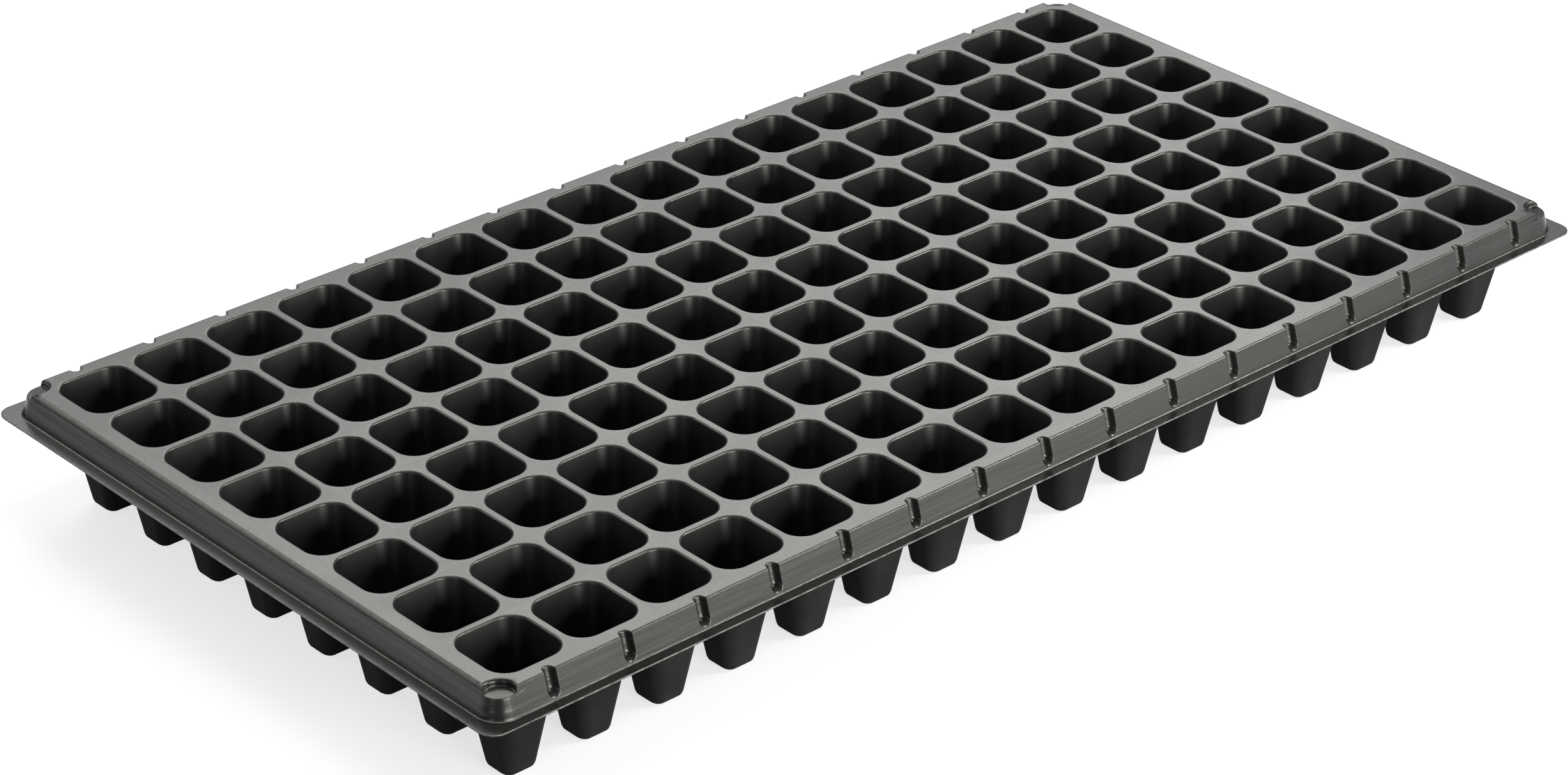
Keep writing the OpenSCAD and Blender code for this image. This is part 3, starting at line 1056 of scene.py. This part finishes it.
class SEEDTRAY_OT_corners(bpy.types.Operator):
    """Make the four border corners with their scoops"""
    bl_idname = "seedtray.corners"
    bl_label = "Corners"

    def execute(self, context):
        for end, sy in (("front", -1), ("back", 1)):
            for side, sx in (("left", -1), ("right", 1)):
                name = f"{end}_{side}"
                piece = new_piece(f"rim_corner_{name}", corner_mesh(f"rim_corner_{name}", (sx, sy)))
                dress(piece, rim_material(), "rim_sheet", f"corner_{name}")
        return {"FINISHED"}


# Stage

FLOOR_HALF = 6.0
FLOOR_GLOW = 0.72
FLOOR_DARK = (0.02, 0.02, 0.02)
NEAR_FADE = (-0.5, -0.32)
LEFT_FADE = (-0.7, -0.45)
WORLD_STRENGTH = 0.12
SENSOR_WIDTH = 36.0
CLIP_START = 0.01

# Soft boxes: azimuth and elevation in degrees, distance, width and height, radiance, roll in degrees
LAMPS = {
    "back_box": (50, 37.5, 1.7, (1.3, 0.7), 4.6, 20),
    "top_box": (47, 82, 1.5, (0.9, 0.7), 3.4, 0),
    "side_box": (-43, 36, 1.5, (0.6, 0.4), 20.0, 0),
    "left_edge_box": (108, 43, 1.5, (1.0, 0.5), 2.3, 0),
    "right_key": (-97, 13, 1.4, (0.65, 0.4), 14.0, 0),
    "left_key": (-157, 12, 1.4, (0.35, 0.4), 2.0, 0),
    "right_box": (-72, 6, 1.4, (1.1, 0.45), 3.7, 0),
    "left_box": (136, 24, 1.4, (0.9, 0.8), 1.0, 0),
}


def floor_material(tint, ahead):
    """Pale floor: white to the camera, with the tray's shadow, and dark towards the camera and its left."""
    s = Shader("floor_paper")
    path = s.node("ShaderNodeLightPath")
    seen = path.out("Is Camera Ray") + path.out("Is Glossy Ray") + path.out("Is Transmission Ray")
    place = s.node("ShaderNodeTexCoord").out("Object")

    def along(x, y):
        made = s.node("ShaderNodeVectorMath", {"operation": "DOT_PRODUCT"}, {0: place, 1: (x, y, 0.0)})
        return made.out("Value")

    lit = s.ramp(along(*ahead), *NEAR_FADE) * s.ramp(along(ahead[1], -ahead[0]), *LEFT_FADE)
    paper = s.node("ShaderNodeBsdfDiffuse", None, {"Color": s.mix(lit, FLOOR_DARK, tint)})
    glow = s.node("ShaderNodeEmission", None, {
        "Color": s.mix(lit, (0.0, 0.0, 0.0), (1.0, 1.0, 1.0)), "Strength": seen * FLOOR_GLOW})
    both = s.node("ShaderNodeAddShader", None, {0: paper.out(0), 1: glow.out(0)})
    return s.finish(both.out(0))


def soft_lamp(name, azimuth, elevation, distance, size, radiance, roll):
    """A soft box that faces the tray from one direction, with the radiance of its own surface."""
    turn, rise = math.radians(azimuth), math.radians(elevation)
    way = Vector((math.cos(turn) * math.cos(rise), math.sin(turn) * math.cos(rise), math.sin(rise)))
    lamp = bpy.data.lights.new(name, "AREA")
    lamp.shape = "RECTANGLE"
    lamp.size, lamp.size_y = size
    lamp.energy = radiance * math.pi * size[0] * size[1]
    holder = bpy.data.objects.new(name, lamp)
    holder.location = way * distance
    tilt = Quaternion((0, 0, 1), math.radians(roll))
    holder.rotation_euler = ((-way).to_track_quat("-Z", "Y") @ tilt).to_euler()
    bpy.context.scene.collection.objects.link(holder)


class SEEDTRAY_OT_stage(bpy.types.Operator):
    """Set up the floor, the lamps and the photograph's view"""
    bl_idname = "seedtray.stage"
    bl_label = "Stage"

    def execute(self, context):
        scene = context.scene
        stage = scene.seed_tray_stage
        scene.view_settings.view_transform = "Standard"
        floor_mesh = bpy.data.meshes.new("floor")
        corners = [(x * FLOOR_HALF, y * FLOOR_HALF, 0) for x, y in ((-1, -1), (1, -1), (1, 1), (-1, 1))]
        floor_mesh.from_pydata(corners, [], [(0, 1, 2, 3)])
        floor = new_piece("floor", floor_mesh)
        ahead = (Vector(stage.camera_aim) - Vector(stage.camera_place)).to_2d().normalized()
        floor.data.materials.append(floor_material(stage.floor_colour, ahead))
        world = bpy.data.worlds.new("studio")
        world.use_nodes = True
        background = world.node_tree.nodes["Background"].inputs
        background["Color"].default_value = (1.0, 1.0, 1.0, 1.0)
        background["Strength"].default_value = WORLD_STRENGTH
        scene.world = world
        for name, setting in LAMPS.items():
            soft_lamp(name, *setting)
        camera = bpy.data.cameras.new("photo_view")
        camera.sensor_width = SENSOR_WIDTH
        camera.sensor_fit = "HORIZONTAL"
        camera.lens = stage.lens
        camera.clip_start = CLIP_START
        holder = bpy.data.objects.new("photo_view", camera)
        scene.collection.objects.link(holder)
        look = (Vector(stage.camera_aim) - Vector(stage.camera_place)).to_track_quat("-Z", "Y")
        turn = look.to_matrix().to_4x4() @ Matrix.Rotation(stage.camera_roll, 4, "Z")
        holder.matrix_world = Matrix.Translation(stage.camera_place) @ turn
        scene.camera = holder
        return {"FINISHED"}


class SEEDTRAY_PT_panel(bpy.types.Panel):
    """Shows a button for each step that builds the tray"""
    bl_label = "Seed tray"
    bl_idname = "SEEDTRAY_PT_panel"
    bl_space_type = "VIEW_3D"
    bl_region_type = "UI"
    bl_category = "Seed tray"

    def draw(self, context):
        for step in STEPS:
            self.layout.operator(step.bl_idname)


STEPS = (SEEDTRAY_OT_cell_rows, SEEDTRAY_OT_long_sides, SEEDTRAY_OT_short_ends, SEEDTRAY_OT_corners,
         SEEDTRAY_OT_stage)
GROUPS = {"seed_tray_cell": TrayCell, "seed_tray_rim": TrayRim, "seed_tray_finish": TrayFinish,
          "seed_tray_stage": TrayStage}
CLASSES = (*GROUPS.values(), *STEPS, SEEDTRAY_PT_panel)


def register():
    """Registers the property groups, the operators and the panel."""
    for cls in CLASSES:
        bpy.utils.register_class(cls)
    for name, cls in GROUPS.items():
        setattr(bpy.types.Scene, name, PointerProperty(type=cls))


def unregister():
    """Takes back what register added."""
    for name in GROUPS:
        delattr(bpy.types.Scene, name)
    for cls in reversed(CLASSES):
        bpy.utils.unregister_class(cls)


def main():
    """Builds the stage and the tray."""
    register()
    bpy.ops.seedtray.stage()
    bpy.ops.seedtray.cell_rows()
    bpy.ops.seedtray.long_sides()
    bpy.ops.seedtray.short_ends()
    bpy.ops.seedtray.corners()


if __name__ == "__main__":
    main()
